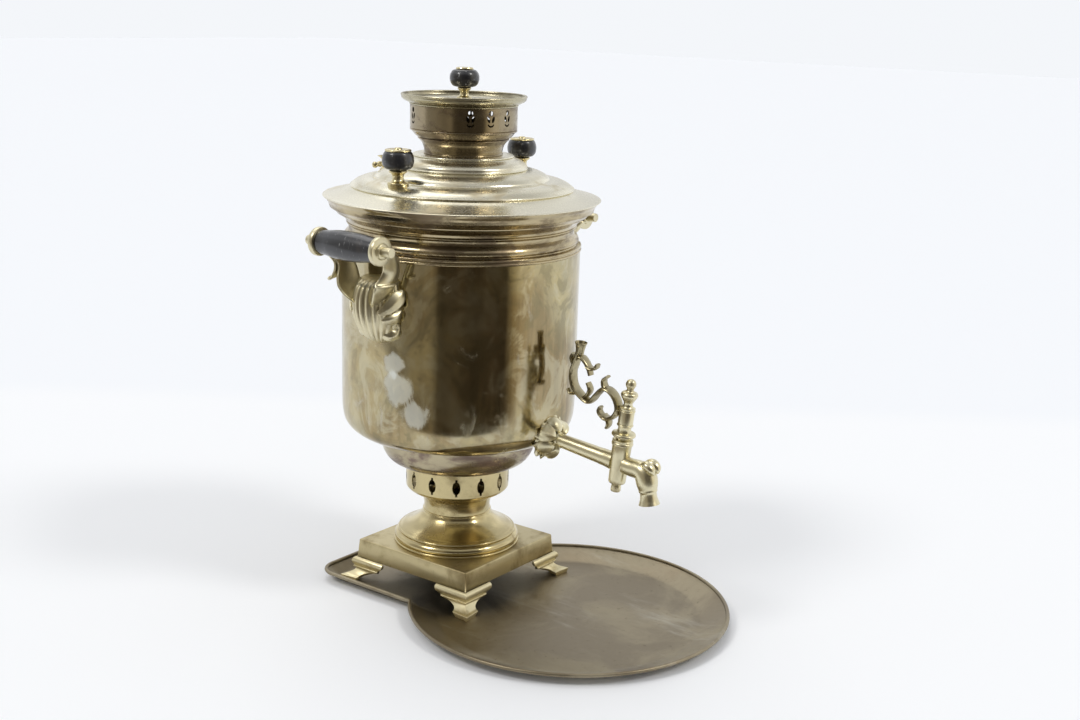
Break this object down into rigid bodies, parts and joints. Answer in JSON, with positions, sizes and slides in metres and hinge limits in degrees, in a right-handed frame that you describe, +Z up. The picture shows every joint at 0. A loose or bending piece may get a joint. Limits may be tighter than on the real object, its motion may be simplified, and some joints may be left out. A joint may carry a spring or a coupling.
{
  "type": "charcoal samovar",
  "caption": "Straight-sided brass charcoal samovar on a keyhole-shaped drip tray, with a scroll-handled tap, black wooden grips, lift-off lid, crown and cap.",
  "frame": {"origin": "on the samovar's vertical axis, on the table under the tray", "axes": "+Z up; -Y towards the tap; the two handles stand at -X and +X"},
  "size_m": [0.34, 0.4333, 0.517],
  "materials": {
    "tray_brass": "dull, brown-grey patina",
    "cast_brass": "satin, worn",
    "spun_brass": "polished, worn",
    "wall_brass": "old polish with dark stains",
    "rim_brass": "old polish, tarnished",
    "lid_brass": "pale, satin",
    "crown_brass": "tarnished brown",
    "cap_brass": "dull",
    "sooty_brass": "sooty",
    "tap_brass": "pale, satin",
    "scroll_brass": "dark patina",
    "handle_brass": "satin",
    "knob_brass": "polished",
    "black_wood": "black, worn polish",
    "iron": "rough, sooty",
    "leather": "plain"
  },
  "bodies": {
    "tray": {"tray": "tray_brass"},
    "urn": {"plinth": "cast_brass", "foot_front_left": "cast_brass", "foot_front_right": "cast_brass", "foot_back_left": "cast_brass", "foot_back_right": "cast_brass", "pedestal": "spun_brass", "vent_ring": "spun_brass", "bottom_bowl": "spun_brass", "body_bottom": "wall_brass", "body_shoulder": "wall_brass", "body_wall": "wall_brass", "top_ring": "rim_brass", "fire_tube": "sooty_brass", "grate": "iron", "tap_tube": "tap_brass", "tap_washer": "leather", "tap_nut": "tap_brass", "tap_rosette": "tap_brass", "tap_barrel": "tap_brass", "handle_bracket_left": "handle_brass", "handle_bracket_right": "handle_brass", "handle_grip_left": "black_wood", "handle_grip_right": "black_wood", "handle_rod_left": "handle_brass", "handle_rod_right": "handle_brass", "handle_nut_low_left": "handle_brass", "handle_nut_low_right": "handle_brass", "handle_nut_high_left": "handle_brass", "handle_nut_high_right": "handle_brass"},
    "key": {"tap_key": "tap_brass", "tap_key_nut": "tap_brass", "tap_scroll": "scroll_brass"},
    "lid": {"lid": "lid_brass", "lid_knob_stem_left": "knob_brass", "lid_knob_stem_right": "knob_brass", "lid_knob_left": "black_wood", "lid_knob_right": "black_wood", "lid_knob_cap_left": "knob_brass", "lid_knob_cap_right": "knob_brass", "steam_vent": "knob_brass"},
    "vent_key": {"steam_vent_key": "knob_brass"},
    "crown": {"crown_foot": "crown_brass", "crown_gallery": "crown_brass", "crown_rim": "crown_brass"},
    "cap": {"cap_plate": "cap_brass", "cap_knob_stem": "knob_brass", "cap_knob": "black_wood", "cap_knob_cap": "knob_brass"}
  },
  "joints": [
    {"name": "urn_lift", "type": "slide", "parent": "tray", "child": "urn", "axis": [0, 0, 1], "range_m": [0, 0.06]},
    {"name": "key_turn", "type": "hinge", "parent": "urn", "child": "key", "pos_m": [0, -0.19458, 0.16567], "axis": [0, -0.1115, 0.9938], "continuous": true},
    {"name": "lid_lift", "type": "slide", "parent": "urn", "child": "lid", "axis": [0, 0, 1], "range_m": [0, 0.1]},
    {"name": "vent_key_turn", "type": "hinge", "parent": "lid", "child": "vent_key", "pos_m": [-0.01545, 0.08765, 0.4191], "axis": [-0.9848, -0.1736, 0], "continuous": true},
    {"name": "crown_lift", "type": "slide", "parent": "lid", "child": "crown", "axis": [0, 0, 1], "range_m": [0, 0.08]},
    {"name": "cap_lift", "type": "slide", "parent": "crown", "child": "cap", "axis": [0, 0, 1], "range_m": [0, 0.05]}
  ]
}
